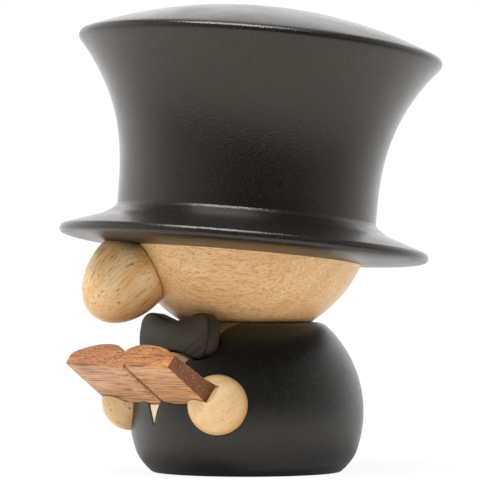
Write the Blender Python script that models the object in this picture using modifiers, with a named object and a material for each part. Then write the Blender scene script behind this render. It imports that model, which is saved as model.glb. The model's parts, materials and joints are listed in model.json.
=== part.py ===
# Wooden figurine: a ball body in a black coat, a ball head in a top hat, and an open book in its hands.
# Metres, +Z up. The origin is the centre of the base, the figure faces -Y and its left hand is at +X.
# The head carries the nose and the hat and turns on the neck dowel. The book slides out of the hands.

import math

import bmesh
import bpy
from mathutils import Matrix, Vector

# Gaps between pieces
SEAT_GAP = 0.0003          # between any two pieces that touch or fit
MERGE_DISTANCE = 0.000001
FLAT_ANGLE = math.radians(0.05)  # faces this close to level are one face
CUT_REACH = 0.020          # how far an open cut runs past the surface it cuts

# Torso: a turned ball, cut flat below and on top
TORSO_BALL_DIAMETER = 0.0600
TORSO_BASE_DIAMETER = 0.0515  # flat that it stands on
TORSO_TOP_DIAMETER = 0.0390   # flat under the head
TORSO_EDGE_ROUNDING = 0.0012

# Shirt front: a V-shaped inlay in the torso
SHIRT_TOP_WIDTH = 0.0277
SHIRT_TIP_HEIGHT = 0.0130   # point of the V above the base
SHIRT_SPREAD_POWER = 1.25   # how late the V spreads towards its top
SHIRT_TIE_WALL = 0.0015     # wood left behind the tie's seat
SHIRT_RECESS = 0.0006       # below the surface of the coat
SHIRT_NECK_WALL = 0.0030    # wood left between the inlay and the neck bore

# Bow tie: cut from a thin board
TIE_WIDTH = 0.0290
TIE_HEIGHT = 0.0117
TIE_WAIST_HEIGHT = 0.0070
TIE_END_CROWN = 0.0010      # how far the ends bulge
TIE_LOBE_START = 0.0070     # from the middle to where a lobe has its full height
TIE_THICKNESS = 0.0039
TIE_LOBE_ROUNDING = 0.0040  # at the waist and where a lobe starts
TIE_CORNER_ROUNDING = 0.0028
TIE_END_ROUNDING = 0.0080
TIE_EDGE_ROUNDING = 0.0005
TIE_DROP = 0.0033           # its middle below the torso's top
TIE_PROUD = 0.0010          # its front ahead of the coat at its middle
TIE_LEAN = math.radians(5.0)

# Hands: balls sunk in the torso
HAND_DIAMETER = 0.0150
HAND_SPREAD = math.radians(37.0)  # from the front, to each side
HAND_RISE = math.radians(5.1)     # above the torso ball's equator
HAND_SINK = 0.0003                # hand centre inside the torso's ball

# Book: an open book carved from one block
BOOK_LENGTH = 0.0150        # along the slope, from the hands to its upper edge
BOOK_GRIP = 0.0035          # how far its sides reach past the middle of each hand
BOOK_SLOPE = math.radians(37.0)
BOOK_EDGE_THICKNESS = 0.0033
BOOK_CREST_HEIGHT = 0.0061  # pages at their highest, over the cover
BOOK_CREST_OFFSET = 0.0080  # from the gutter to the crest
BOOK_GUTTER_HEIGHT = 0.0046
BOOK_SPINE_WIDTH = 0.0076
BOOK_SPINE_RISE = 0.0010
BOOK_EDGE_ROUNDING = 0.0004
BOOK_SLOT_DEPTH = 0.0024    # into the hand's ball, along the slope
BOOK_COVER_DROP = 0.0026    # cover below the middle of the hand, square to the slope

# Head: a turned ball, cut flat for its seat and for the hat
HEAD_BALL_DIAMETER = 0.0646
HEAD_SEAT_DIAMETER = 0.0336
HEAD_TOP_DROP = 0.0108     # hat seat below the ball's centre, along the hat's axis
HEAD_EDGE_ROUNDING = 0.0006
HEAD_TURN = math.radians(-19.5)  # turned towards the figure's right
HEAD_DOWEL_WEB = 0.0030     # wood left between the bores for the neck and hat dowels

# Nose: a turned egg, cut flat where it is glued to a flat of the head
NOSE_DIAMETER = 0.0208
NOSE_TIP_LENGTH = 0.0148    # from its widest place to its tip
NOSE_BACK_LENGTH = 0.0072   # from its widest place to where the egg's back would end
NOSE_STANDOFF = 0.0033      # middle of its widest place in front of the seat
NOSE_SEAT_INSET = 0.0013    # edge of the seat inside the egg's widest place
NOSE_FOOT_DROP = 0.0110     # lower edge of the seat below the hat's seat
NOSE_LEAN = math.radians(21.0)  # the egg's own axis, tipped down from the seat's

# Top hat: turned from one piece
HAT_TILT = math.radians(5.25)    # backwards
HAT_BRIM_DIAMETER = 0.0948
HAT_BRIM_EDGE = 0.0022          # thickness at the edge
HAT_BRIM_EDGE_ROUNDING = 0.0008
HAT_BRIM_RISE = 0.0015          # lower edge above the hat's seat
HAT_BRIM_ROOT = 0.0084          # brim's top above the seat, where it meets the crown
HAT_BRIM_FILLET = 0.0040
HAT_SEAT_MARGIN = 0.0005        # flat under the hat past the head's top, all round
HAT_WAIST_DIAMETER = 0.0666
HAT_WAIST_HEIGHT = 0.0124       # narrowest place above the seat
HAT_RIM_DIAMETER = 0.0946
HAT_RIM_HEIGHT = 0.0533
HAT_RIM_ROUNDING = 0.0012
HAT_FLARE_POWER = 2.6           # how late the crown flares towards its rim
HAT_DOME_RISE = 0.0103

# Dowels
NECK_DOWEL_DIAMETER = 0.0080
NECK_DOWEL_IN_TORSO = 0.0130
HAT_DOWEL_DIAMETER = 0.0080
HAT_DOWEL_IN_HEAD = 0.0060
HAT_DOWEL_IN_HAT = 0.0080
NOSE_DOWEL_DIAMETER = 0.0040
NOSE_DOWEL_RISE = 0.0091    # its axis above the lower edge of the nose's seat
NOSE_DOWEL_IN_HEAD = 0.0045
NOSE_DOWEL_IN_NOSE = 0.0080
HAND_DOWEL_DIAMETER = 0.0040
HAND_DOWEL_IN_TORSO = 0.0070
HAND_DOWEL_IN_HAND = 0.0050
DOWEL_CHAMFER = 0.0004

# Facets
TURNED_STEPS = 56
NOSE_STEPS = 32
BALL_STEP = math.radians(7.5)
CORNER_STEPS = 4
CURVE_STEPS = 10
HAND_SEGMENTS = 28
DOWEL_SIDES = 20
EDGE_STEPS = 2
SHARP_ANGLE = math.radians(35.0)  # edges sharper than this are corners

# Places worked out from the sizes
TORSO_RADIUS = TORSO_BALL_DIAMETER / 2
TORSO_BALL_HEIGHT = math.sqrt(TORSO_RADIUS**2 - (TORSO_BASE_DIAMETER / 2) ** 2)
TORSO_HEIGHT = TORSO_BALL_HEIGHT + math.sqrt(TORSO_RADIUS**2 - (TORSO_TOP_DIAMETER / 2) ** 2)
HAND_RADIUS = HAND_DIAMETER / 2
HEAD_RADIUS = HEAD_BALL_DIAMETER / 2
HEAD_SEAT_HEIGHT = TORSO_HEIGHT + SEAT_GAP
HEAD_SEAT_DROP = math.sqrt(HEAD_RADIUS**2 - (HEAD_SEAT_DIAMETER / 2) ** 2)
HEAD_CENTRE_HEIGHT = HEAD_SEAT_HEIGHT + HEAD_SEAT_DROP
NOSE_SEAT_RADIUS = NOSE_DIAMETER / 2 - NOSE_SEAT_INSET
NOSE_SEAT_DISTANCE = math.sqrt(HEAD_RADIUS**2 - NOSE_SEAT_RADIUS**2)
NOSE_FOOT_ANGLE = math.asin((HEAD_TOP_DROP + NOSE_FOOT_DROP) / HEAD_RADIUS)
NOSE_SEAT_DROP = NOSE_FOOT_ANGLE - math.asin(NOSE_SEAT_RADIUS / HEAD_RADIUS)
NECK_DOWEL_IN_HEAD = HEAD_SEAT_DROP - HEAD_TOP_DROP - HAT_DOWEL_IN_HEAD - HEAD_DOWEL_WEB
HAND_REACH = TORSO_RADIUS - HAND_SINK
HAND_X = HAND_REACH * math.cos(HAND_RISE) * math.sin(HAND_SPREAD)
HAND_Y = -HAND_REACH * math.cos(HAND_RISE) * math.cos(HAND_SPREAD)
HAND_Z = TORSO_BALL_HEIGHT + HAND_REACH * math.sin(HAND_RISE)
BOOK_HALF_WIDTH = HAND_X + BOOK_GRIP
TIE_HEIGHT_ABOVE_BASE = TORSO_HEIGHT - TIE_DROP

# Start from an empty scene
for leftover in list(bpy.data.objects):
    bpy.data.objects.remove(leftover)


def new_collection(name):
    group = bpy.data.collections.new(name)
    bpy.context.scene.collection.children.link(group)
    return group


PIECES = new_collection("wooden_figurine")
CUTTERS = new_collection("cutters")


def wood(name, colour, roughness):
    material = bpy.data.materials.new(name)
    material.use_nodes = True
    shader = material.node_tree.nodes["Principled BSDF"]
    shader.inputs["Base Color"].default_value = (*colour, 1.0)
    shader.inputs["Roughness"].default_value = roughness
    shader.inputs["Metallic"].default_value = 0.0
    return material


BLACK_STAIN = wood("black_stained_wood", (0.014, 0.013, 0.012), 0.42)
PALE_WOOD = wood("pale_rubberwood", (0.66, 0.44, 0.23), 0.55)
SHIRT_WOOD = wood("shirt_rubberwood", (0.72, 0.53, 0.32), 0.55)
BOOK_WOOD = wood("red_brown_hardwood", (0.29, 0.12, 0.055), 0.5)
DOWEL_WOOD = wood("dowel_beech", (0.60, 0.42, 0.25), 0.6)


def axis_frame(name, location, rotation, parent=None):
    """An empty that pieces are placed on."""
    frame = bpy.data.objects.new(name, None)
    frame.location = location
    frame.rotation_euler = rotation
    frame.parent = parent
    PIECES.objects.link(frame)
    return frame


def piece(name, mesh, material, frame=None):
    """A named piece on its frame."""
    obj = bpy.data.objects.new(name, mesh)
    obj.data.materials.append(material)
    obj.parent = frame
    PIECES.objects.link(obj)
    return obj


def cutter(name, mesh, frame=None):
    """A guide shape that only cuts other pieces."""
    obj = bpy.data.objects.new(name, mesh)
    obj.parent = frame
    obj.hide_render = True
    obj.display_type = "WIRE"
    CUTTERS.objects.link(obj)
    return obj


def cut(target, tool, operation="DIFFERENCE", solver="EXACT"):
    modifier = target.modifiers.new(tool.name, "BOOLEAN")
    modifier.operation = operation
    modifier.solver = solver
    modifier.object = tool


def round_edges(target, width):
    modifier = target.modifiers.new("edge_rounding", "BEVEL")
    modifier.width = width
    modifier.segments = EDGE_STEPS
    modifier.limit_method = "ANGLE"
    modifier.angle_limit = SHARP_ANGLE


def rounded(corners):
    """Outline points, with an arc at each corner that is given as (x, z, radius)."""
    points = []
    for index, corner in enumerate(corners):
        here = Vector(corner[:2])
        if len(corner) == 2:
            points.append(here)
            continue
        before = (Vector(corners[index - 1][:2]) - here).normalized()
        after = (Vector(corners[(index + 1) % len(corners)][:2]) - here).normalized()
        half_angle = before.angle(after) / 2
        middle = (before + after).normalized()
        centre = here + middle * (corner[2] / math.sin(half_angle))
        tangent = corner[2] / math.tan(half_angle)
        first = here + before * tangent - centre
        sweep = first.angle_signed(here + after * tangent - centre)
        for step in range(CORNER_STEPS + 1):
            turn = Matrix.Rotation(-sweep * step / CORNER_STEPS, 2)
            points.append(centre + turn @ first)
    return points


def ball_side(radius, centre_height, top, bottom):
    """Points down the side of a ball between two heights, without the end points."""
    start = math.asin((top - centre_height) / radius)
    end = math.asin((bottom - centre_height) / radius)
    count = round((start - end) / BALL_STEP)
    angles = [start + (end - start) * step / count for step in range(1, count)]
    return [(radius * math.cos(a), centre_height + radius * math.sin(a)) for a in angles]


def ball_section(radius, height_from_centre):
    return math.sqrt(radius**2 - height_from_centre**2)


def profile_mesh(name, profile):
    """A turned piece's profile, from its top on the axis down its outer side."""
    mesh = bpy.data.meshes.new(name)
    edges = [(index, index + 1) for index in range(len(profile) - 1)]
    mesh.from_pydata([(x, 0.0, z) for x, z in profile], edges, [])
    return mesh


def turn_on_lathe(obj, steps):
    screw = obj.modifiers.new("turned", "SCREW")
    screw.axis = "Z"
    screw.steps = steps
    screw.render_steps = steps
    screw.use_merge_vertices = True
    screw.merge_threshold = MERGE_DISTANCE
    screw.use_smooth_shade = True


def plate_mesh(name, outline, start, end):
    """A flat outline in X and Z, given a thickness from start to end along Y."""
    curve = bpy.data.curves.new(name, "CURVE")
    curve.dimensions = "2D"
    curve.fill_mode = "BOTH"
    curve.extrude = (end - start) / 2
    spline = curve.splines.new("POLY")
    spline.points.add(len(outline) - 1)
    for point, (x, z) in zip(spline.points, outline):
        point.co = (x, z, 0.0, 1.0)
    spline.use_cyclic_u = True
    flat = bpy.data.objects.new(name, curve)
    bpy.context.scene.collection.objects.link(flat)
    mesh = bpy.data.meshes.new_from_object(flat.evaluated_get(bpy.context.evaluated_depsgraph_get()))
    bpy.data.objects.remove(flat)
    bpy.data.curves.remove(curve)
    upright = Matrix.Translation((0.0, (start + end) / 2, 0.0)) @ Matrix.Rotation(math.pi / 2, 4, "X")
    shape = bmesh.new()
    shape.from_mesh(mesh)
    bmesh.ops.remove_doubles(shape, verts=shape.verts, dist=MERGE_DISTANCE)
    bmesh.ops.transform(shape, matrix=upright, verts=shape.verts)
    bmesh.ops.recalc_face_normals(shape, faces=shape.faces)
    caps = [edge for edge in shape.edges if edge.calc_face_angle(1.0) < FLAT_ANGLE]
    bmesh.ops.dissolve_edges(shape, edges=caps, use_verts=False)
    shape.to_mesh(mesh)
    shape.free()
    return mesh


def rod_mesh(name, diameter, bottom, top, chamfer=0.0, sides=DOWEL_SIDES):
    """A round rod along Z from bottom to top."""
    shape = bmesh.new()
    bmesh.ops.create_cone(
        shape,
        cap_ends=True,
        segments=sides,
        radius1=diameter / 2,
        radius2=diameter / 2,
        depth=top - bottom,
        matrix=Matrix.Translation((0.0, 0.0, (bottom + top) / 2)),
    )
    if chamfer:
        rims = [e for e in shape.edges if abs(e.verts[0].co.z - e.verts[1].co.z) < MERGE_DISTANCE]
        bmesh.ops.bevel(
            shape, geom=rims, offset=chamfer, segments=1, profile=0.5, affect="EDGES", material=-1
        )
    return finished_mesh(name, shape)


def ball_mesh(name, diameter, segments):
    shape = bmesh.new()
    bmesh.ops.create_uvsphere(shape, u_segments=segments, v_segments=segments // 2, radius=diameter / 2)
    return finished_mesh(name, shape)


def finished_mesh(name, shape):
    mesh = bpy.data.meshes.new(name)
    shape.to_mesh(mesh)
    shape.free()
    mesh.shade_smooth()
    mesh.set_sharp_from_angle(angle=SHARP_ANGLE)
    return mesh


def dowel(name, diameter, bottom, top, frame):
    """Adds a dowel along its frame's Z, and gives the cutter for the bores that hold it."""
    piece(name, rod_mesh(name, diameter, bottom, top, DOWEL_CHAMFER), DOWEL_WOOD, frame)
    bore_diameter = diameter + 2 * SEAT_GAP
    bore = rod_mesh(name + "_bore", bore_diameter, bottom - SEAT_GAP, top + SEAT_GAP)
    return cutter(name + "_bore", bore, frame)


# Axes that the pieces are placed on
neck_axis = axis_frame("neck_axis", (0.0, 0.0, HEAD_SEAT_HEIGHT), (0.0, 0.0, 0.0))
head_axis = axis_frame("head_axis", (0.0, 0.0, HEAD_CENTRE_HEIGHT), (0.0, 0.0, HEAD_TURN))
hat_axis = axis_frame("hat_axis", (0.0, 0.0, 0.0), (-HAT_TILT, 0.0, 0.0), head_axis)
nose_axis = axis_frame("nose_axis", (0.0, 0.0, 0.0), (math.pi / 2 + NOSE_SEAT_DROP, 0.0, 0.0), head_axis)

book_slope_axis = Vector((0.0, -math.cos(BOOK_SLOPE), math.sin(BOOK_SLOPE)))
book_normal = Vector((0.0, math.sin(BOOK_SLOPE), math.cos(BOOK_SLOPE)))
book_corner = Vector((0.0, HAND_Y, HAND_Z))
book_corner += book_slope_axis * (HAND_RADIUS - BOOK_SLOT_DEPTH)
book_corner -= book_normal * BOOK_COVER_DROP
book_axis = axis_frame("book_axis", book_corner, (BOOK_SLOPE, 0.0, math.pi))

# The book, and the slot that it slides in


def book_outline():
    """Section of the open book, across its pages and its spine."""
    slope_width = BOOK_HALF_WIDTH - BOOK_CREST_OFFSET
    pages = []
    for step in range(CURVE_STEPS):
        share = step / CURVE_STEPS
        height = BOOK_CREST_HEIGHT - (BOOK_CREST_HEIGHT - BOOK_GUTTER_HEIGHT) * (1.0 - share) ** 2
        pages.append((BOOK_CREST_OFFSET * share, height))
    for step in range(CURVE_STEPS):
        share = step / CURVE_STEPS
        height = BOOK_EDGE_THICKNESS + (BOOK_CREST_HEIGHT - BOOK_EDGE_THICKNESS) * (1.0 - share**2)
        pages.append((BOOK_CREST_OFFSET + slope_width * share, height))
    spine = []
    for step in range(CURVE_STEPS):
        angle = math.pi / 2 * step / CURVE_STEPS
        spine.append((BOOK_SPINE_WIDTH / 2 * math.sin(angle), -BOOK_SPINE_RISE * math.cos(angle)))
    cover = [(BOOK_SPINE_WIDTH / 2, 0.0), (BOOK_HALF_WIDTH, 0.0), (BOOK_HALF_WIDTH, BOOK_EDGE_THICKNESS)]
    right = pages + list(reversed(spine + cover))
    left = [(-x, z) for x, z in reversed(right) if x > 0.0]
    return right + left


def slot_outline(gap, flat_floor):
    """Saw cut that clears the book's section by gap and runs out through the hands.
    Its floor follows the cover and the spine, or is flat at the spine's depth."""
    side = HAND_X + HAND_RADIUS + CUT_REACH
    fore_edge = BOOK_HALF_WIDTH + gap
    crest = BOOK_CREST_HEIGHT + gap
    shoulder = (BOOK_HALF_WIDTH + BOOK_CREST_OFFSET) / 2
    spine_side = BOOK_SPINE_WIDTH / 2 + gap
    spine_floor = -BOOK_SPINE_RISE - gap
    right = [(shoulder, crest), (fore_edge, BOOK_EDGE_THICKNESS + gap), (side, BOOK_EDGE_THICKNESS + gap)]
    stepped = [(side, -gap), (spine_side, -gap), (spine_side, spine_floor)]
    right += [(side, spine_floor)] if flat_floor else stepped
    left = [(-x, z) for x, z in reversed(right)]
    return right + left


book_mesh = plate_mesh("book", book_outline(), 0.0, BOOK_LENGTH)
book = piece("book", book_mesh, BOOK_WOOD, book_axis)
round_edges(book, BOOK_EDGE_ROUNDING)
slot_mesh = plate_mesh("book_slot", slot_outline(SEAT_GAP, False), -SEAT_GAP, BOOK_LENGTH + CUT_REACH)
book_slot = cutter("book_slot", slot_mesh, book_axis)
space_mesh = plate_mesh("book_space", slot_outline(SEAT_GAP, True), -SEAT_GAP, BOOK_LENGTH + CUT_REACH)
book_space = cutter("book_space", space_mesh, book_axis)

# The bow tie, and its seat in the torso


def tie_outline(grow):
    """Bow with a narrow waist and softly bulged ends, made larger all round by grow."""
    end = TIE_WIDTH / 2 + grow
    top = TIE_HEIGHT / 2 + grow
    waist = TIE_WAIST_HEIGHT / 2 + grow
    corner = end - TIE_END_CROWN
    upper = [(TIE_LOBE_START, top, TIE_LOBE_ROUNDING), (corner, top, TIE_CORNER_ROUNDING)]
    lower = [(x, -z, radius) for x, z, radius in reversed(upper)]
    right = [(0.0, waist, TIE_LOBE_ROUNDING)] + upper + [(end, 0.0, TIE_END_ROUNDING)] + lower
    left = [(-x, -z, radius) for x, z, radius in right]
    return rounded(right + left)


tie_front = -ball_section(TORSO_RADIUS, TIE_HEIGHT_ABOVE_BASE - TORSO_BALL_HEIGHT) - TIE_PROUD
tie_axis = axis_frame("tie_axis", (0.0, tie_front, TIE_HEIGHT_ABOVE_BASE), (-TIE_LEAN, 0.0, 0.0))
tie_mesh = plate_mesh("bow_tie", tie_outline(0.0), 0.0, TIE_THICKNESS)
bow_tie = piece("bow_tie", tie_mesh, BLACK_STAIN, tie_axis)
round_edges(bow_tie, TIE_EDGE_ROUNDING)
tie_seat_mesh = plate_mesh("tie_seat", tie_outline(SEAT_GAP), -CUT_REACH, TIE_THICKNESS + SEAT_GAP)
tie_seat = cutter("tie_seat", tie_seat_mesh, tie_axis)

# The torso
torso_profile = rounded(
    [(0.0, TORSO_HEIGHT), (TORSO_TOP_DIAMETER / 2, TORSO_HEIGHT, TORSO_EDGE_ROUNDING)]
    + ball_side(TORSO_RADIUS, TORSO_BALL_HEIGHT, TORSO_HEIGHT, 0.0)
    + [(TORSO_BASE_DIAMETER / 2, 0.0, TORSO_EDGE_ROUNDING), (0.0, 0.0)]
)
torso = piece("torso", profile_mesh("torso", torso_profile), BLACK_STAIN)
turn_on_lathe(torso, TURNED_STEPS)

# The neck dowel stands in the torso
neck_bore = dowel("neck_dowel", NECK_DOWEL_DIAMETER, -NECK_DOWEL_IN_TORSO, NECK_DOWEL_IN_HEAD, neck_axis)
cut(torso, neck_bore, solver="MANIFOLD")

# The shirt front is a V cut out of a ball-shaped shell


def shirt_outline(grow, top):
    """The V with curved sides, made larger all round by grow, and run on straight up to a height."""
    tall = TORSO_HEIGHT - SHIRT_TIP_HEIGHT
    side = []
    for step in range(CURVE_STEPS + 1):
        share = step / CURVE_STEPS
        side.append((SHIRT_TOP_WIDTH / 2 * share**SHIRT_SPREAD_POWER, SHIRT_TIP_HEIGHT + tall * share))
    slopes = [(x - low_x) / (z - low_z) for (low_x, low_z), (x, z) in zip(side, side[1:])]
    right = [(0.0, SHIRT_TIP_HEIGHT - grow * math.hypot(1.0, 1.0 / slopes[0]))]
    right += [(x + grow * math.hypot(1.0, slope), z) for (x, z), slope in zip(side[1:], slopes)]
    if top > TORSO_HEIGHT:
        right.append((right[-1][0] + slopes[-1] * (top - TORSO_HEIGHT), top))
    return right + [(-x, z) for x, z in reversed(right[1:])]


shirt_front_y = -TORSO_RADIUS - CUT_REACH
shirt_back_y = -NECK_DOWEL_DIAMETER / 2 - 2 * SEAT_GAP - SHIRT_NECK_WALL
shirt_outer_radius = TORSO_RADIUS - SHIRT_RECESS
torso_centre = axis_frame("torso_centre", (0.0, 0.0, TORSO_BALL_HEIGHT), (0.0, 0.0, 0.0))
tie_seat_corner = Vector((0.0, TIE_THICKNESS + SEAT_GAP, -TIE_HEIGHT / 2 - SEAT_GAP))
tie_seat_corner = tie_axis.location + Matrix.Rotation(-TIE_LEAN, 3, "X") @ tie_seat_corner
shirt_inner_radius = (tie_seat_corner - torso_centre.location).length - SHIRT_TIE_WALL
shirt_face_mesh = ball_mesh("shirt_face", 2 * shirt_outer_radius, TURNED_STEPS)
shirt_face = cutter("shirt_face", shirt_face_mesh, torso_centre)
shirt_back_mesh = ball_mesh("shirt_back", 2 * shirt_inner_radius, TURNED_STEPS)
shirt_back = cutter("shirt_back", shirt_back_mesh, torso_centre)
pocket_floor_mesh = ball_mesh("pocket_floor", 2 * (shirt_inner_radius - SEAT_GAP), TURNED_STEPS)
pocket_floor = cutter("pocket_floor", pocket_floor_mesh, torso_centre)

shirt_mesh = plate_mesh("shirt_front", shirt_outline(0.0, TORSO_HEIGHT), shirt_front_y, shirt_back_y)
shirt_front = piece("shirt_front", shirt_mesh, SHIRT_WOOD)
# The exact solver leaves open edges where these cuts meet, in the shirt and in the torso
cut(shirt_front, shirt_face, "INTERSECT", "MANIFOLD")
cut(shirt_front, shirt_back, solver="MANIFOLD")
cut(shirt_front, tie_seat, solver="MANIFOLD")
cut(shirt_front, book_space, solver="MANIFOLD")

pocket_outline = shirt_outline(SEAT_GAP, TORSO_HEIGHT + CUT_REACH)
pocket_mesh = plate_mesh("shirt_pocket", pocket_outline, shirt_front_y, shirt_back_y + SEAT_GAP)
shirt_pocket = cutter("shirt_pocket", pocket_mesh)
cut(shirt_pocket, pocket_floor, solver="MANIFOLD")
cut(torso, shirt_pocket, solver="MANIFOLD")
cut(torso, tie_seat, solver="MANIFOLD")
cut(torso, book_slot, solver="MANIFOLD")

# The hands, sunk in sockets of the torso on their dowels
for side, side_name in ((1, "left"), (-1, "right")):
    hand_place = Vector((side * HAND_X, HAND_Y, HAND_Z))
    outwards = hand_place - torso_centre.location
    hand_axis = axis_frame(side_name + "_hand_axis", hand_place, outwards.to_track_quat("Z", "Y").to_euler())
    hand_name = side_name + "_hand"
    hand = piece(hand_name, ball_mesh(hand_name, HAND_DIAMETER, HAND_SEGMENTS), PALE_WOOD, hand_axis)
    socket_mesh = ball_mesh(hand_name + "_socket", HAND_DIAMETER + 2 * SEAT_GAP, HAND_SEGMENTS)
    hand_socket = cutter(hand_name + "_socket", socket_mesh, hand_axis)
    hand_bore = dowel(
        hand_name + "_dowel",
        HAND_DOWEL_DIAMETER,
        -HAND_RADIUS - HAND_DOWEL_IN_TORSO,
        -HAND_RADIUS + HAND_DOWEL_IN_HAND,
        hand_axis,
    )
    cut(hand, hand_bore, solver="MANIFOLD")
    cut(hand, book_slot, solver="MANIFOLD")
    cut(torso, hand_socket, solver="MANIFOLD")
    cut(torso, hand_bore, solver="MANIFOLD")

# The head, from the ball's equator down to its seat
head_seat_level = -HEAD_SEAT_DROP
brim_radius = HAT_BRIM_DIAMETER / 2
hat_seat_radius = ball_section(HEAD_RADIUS, HEAD_TOP_DROP) + HAT_SEAT_MARGIN
head_profile = rounded(
    [(0.0, 0.0), (HEAD_RADIUS, 0.0)]
    + ball_side(HEAD_RADIUS, 0.0, 0.0, head_seat_level)
    + [(HEAD_SEAT_DIAMETER / 2, head_seat_level, HEAD_EDGE_ROUNDING), (0.0, head_seat_level)]
)
head = piece("head", profile_mesh("head", head_profile), PALE_WOOD, head_axis)
turn_on_lathe(head, TURNED_STEPS)
space_radius = brim_radius + CUT_REACH
space_edge = HAT_BRIM_RISE * (space_radius - hat_seat_radius) / (brim_radius - hat_seat_radius)
space_profile = [(0.0, HEAD_RADIUS), (space_radius, HEAD_RADIUS), (space_radius, space_edge - HEAD_TOP_DROP)]
space_profile += [(hat_seat_radius, -HEAD_TOP_DROP), (0.0, -HEAD_TOP_DROP)]
hat_space = cutter("hat_space", profile_mesh("hat_space", space_profile), hat_axis)
turn_on_lathe(hat_space, TURNED_STEPS)
cut(head, hat_space)
cut(head, neck_bore)

# The nose, on a flat of the head and trimmed under the brim
nose_base = NOSE_SEAT_DISTANCE + SEAT_GAP
nose_middle = (0.0, 0.0, nose_base + NOSE_STANDOFF)
egg_axis = axis_frame("egg_axis", nose_middle, (NOSE_LEAN, 0.0, 0.0), nose_axis)
nose_profile = [(0.0, NOSE_TIP_LENGTH)]
for step in range(1, 2 * CURVE_STEPS):
    angle = math.pi / 2 * (1.0 - step / CURVE_STEPS)
    length = NOSE_TIP_LENGTH if angle > 0.0 else NOSE_BACK_LENGTH
    nose_profile.append((NOSE_DIAMETER / 2 * math.cos(angle), length * math.sin(angle)))
nose_profile.append((0.0, -NOSE_BACK_LENGTH))
nose = piece("nose", profile_mesh("nose", nose_profile), PALE_WOOD, egg_axis)
turn_on_lathe(nose, NOSE_STEPS)
nose_back_mesh = rod_mesh("nose_back", 2 * NOSE_DIAMETER, nose_base - CUT_REACH, nose_base)
nose_back = cutter("nose_back", nose_back_mesh, nose_axis)
cut(nose, nose_back)
cut(nose, hat_space)
nose_flat_mesh = rod_mesh("nose_flat", NOSE_DIAMETER, NOSE_SEAT_DISTANCE, HEAD_RADIUS + CUT_REACH)
nose_flat = cutter("nose_flat", nose_flat_mesh, nose_axis)
cut(head, nose_flat)
nose_dowel_place = (0.0, NOSE_DOWEL_RISE - NOSE_SEAT_RADIUS, 0.0)
nose_dowel_axis = axis_frame("nose_dowel_axis", nose_dowel_place, (0.0, 0.0, 0.0), nose_axis)
nose_bore = dowel(
    "nose_dowel",
    NOSE_DOWEL_DIAMETER,
    NOSE_SEAT_DISTANCE - NOSE_DOWEL_IN_HEAD,
    nose_base + NOSE_DOWEL_IN_NOSE,
    nose_dowel_axis,
)
cut(head, nose_bore)
cut(nose, nose_bore)

# The top hat
hat_underside = -HEAD_TOP_DROP + SEAT_GAP
waist_radius = HAT_WAIST_DIAMETER / 2
rim_radius = HAT_RIM_DIAMETER / 2
dome_radius = (rim_radius**2 + HAT_DOME_RISE**2) / (2 * HAT_DOME_RISE)
dome_spread = math.asin(rim_radius / dome_radius)
hat_corners = [(0.0, HAT_RIM_HEIGHT + HAT_DOME_RISE)]
for step in range(1, CURVE_STEPS):
    angle = dome_spread * step / CURVE_STEPS
    height = HAT_RIM_HEIGHT + HAT_DOME_RISE - dome_radius * (1.0 - math.cos(angle))
    hat_corners.append((dome_radius * math.sin(angle), height))
hat_corners.append((rim_radius, HAT_RIM_HEIGHT, HAT_RIM_ROUNDING))
for step in range(1, CURVE_STEPS):
    share = 1.0 - step / CURVE_STEPS
    radius = waist_radius + (rim_radius - waist_radius) * share**HAT_FLARE_POWER
    hat_corners.append((radius, HAT_WAIST_HEIGHT + (HAT_RIM_HEIGHT - HAT_WAIST_HEIGHT) * share))
hat_corners.append((waist_radius, HAT_BRIM_ROOT, HAT_BRIM_FILLET))
hat_corners.append((brim_radius, HAT_BRIM_RISE + HAT_BRIM_EDGE, HAT_BRIM_EDGE_ROUNDING))
hat_corners.append((brim_radius, HAT_BRIM_RISE, HAT_BRIM_EDGE_ROUNDING))
hat_corners += [(hat_seat_radius, 0.0), (0.0, 0.0)]
hat_profile = [(x, z + hat_underside) for x, z in rounded(hat_corners)]
top_hat = piece("top_hat", profile_mesh("top_hat", hat_profile), BLACK_STAIN, hat_axis)
turn_on_lathe(top_hat, TURNED_STEPS)
hat_bore = dowel(
    "hat_dowel",
    HAT_DOWEL_DIAMETER,
    -HEAD_TOP_DROP - HAT_DOWEL_IN_HEAD,
    hat_underside + HAT_DOWEL_IN_HAT,
    hat_axis,
)
cut(head, hat_bore)
cut(top_hat, hat_bore)

bpy.context.view_layer.update()
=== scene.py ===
import json
import math

import bmesh
import bpy
from mathutils import Matrix, Vector


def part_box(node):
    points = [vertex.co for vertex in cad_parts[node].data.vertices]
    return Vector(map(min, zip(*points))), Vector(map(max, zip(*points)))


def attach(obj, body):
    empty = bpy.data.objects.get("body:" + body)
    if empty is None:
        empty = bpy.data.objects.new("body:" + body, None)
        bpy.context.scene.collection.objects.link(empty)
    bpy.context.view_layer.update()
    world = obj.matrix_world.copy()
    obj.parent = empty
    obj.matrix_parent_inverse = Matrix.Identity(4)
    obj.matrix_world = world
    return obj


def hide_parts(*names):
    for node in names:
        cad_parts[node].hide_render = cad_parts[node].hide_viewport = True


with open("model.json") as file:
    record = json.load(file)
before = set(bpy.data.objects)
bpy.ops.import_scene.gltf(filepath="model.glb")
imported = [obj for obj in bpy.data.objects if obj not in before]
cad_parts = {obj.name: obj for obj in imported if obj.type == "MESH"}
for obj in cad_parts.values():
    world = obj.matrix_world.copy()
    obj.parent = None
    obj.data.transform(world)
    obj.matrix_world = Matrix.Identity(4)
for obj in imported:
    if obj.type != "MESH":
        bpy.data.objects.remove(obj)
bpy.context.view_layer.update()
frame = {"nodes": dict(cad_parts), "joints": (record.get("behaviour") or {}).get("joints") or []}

# The torso: a ball turned from close-grained hardwood, cut flat below and on top, and dyed black
# under a thin satin lacquer. The shirt's V is carved into its front, and the lapels along it are
# sanded round. The book and both hands are let into it.
COAT_RADIUS = 0.0300
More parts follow.
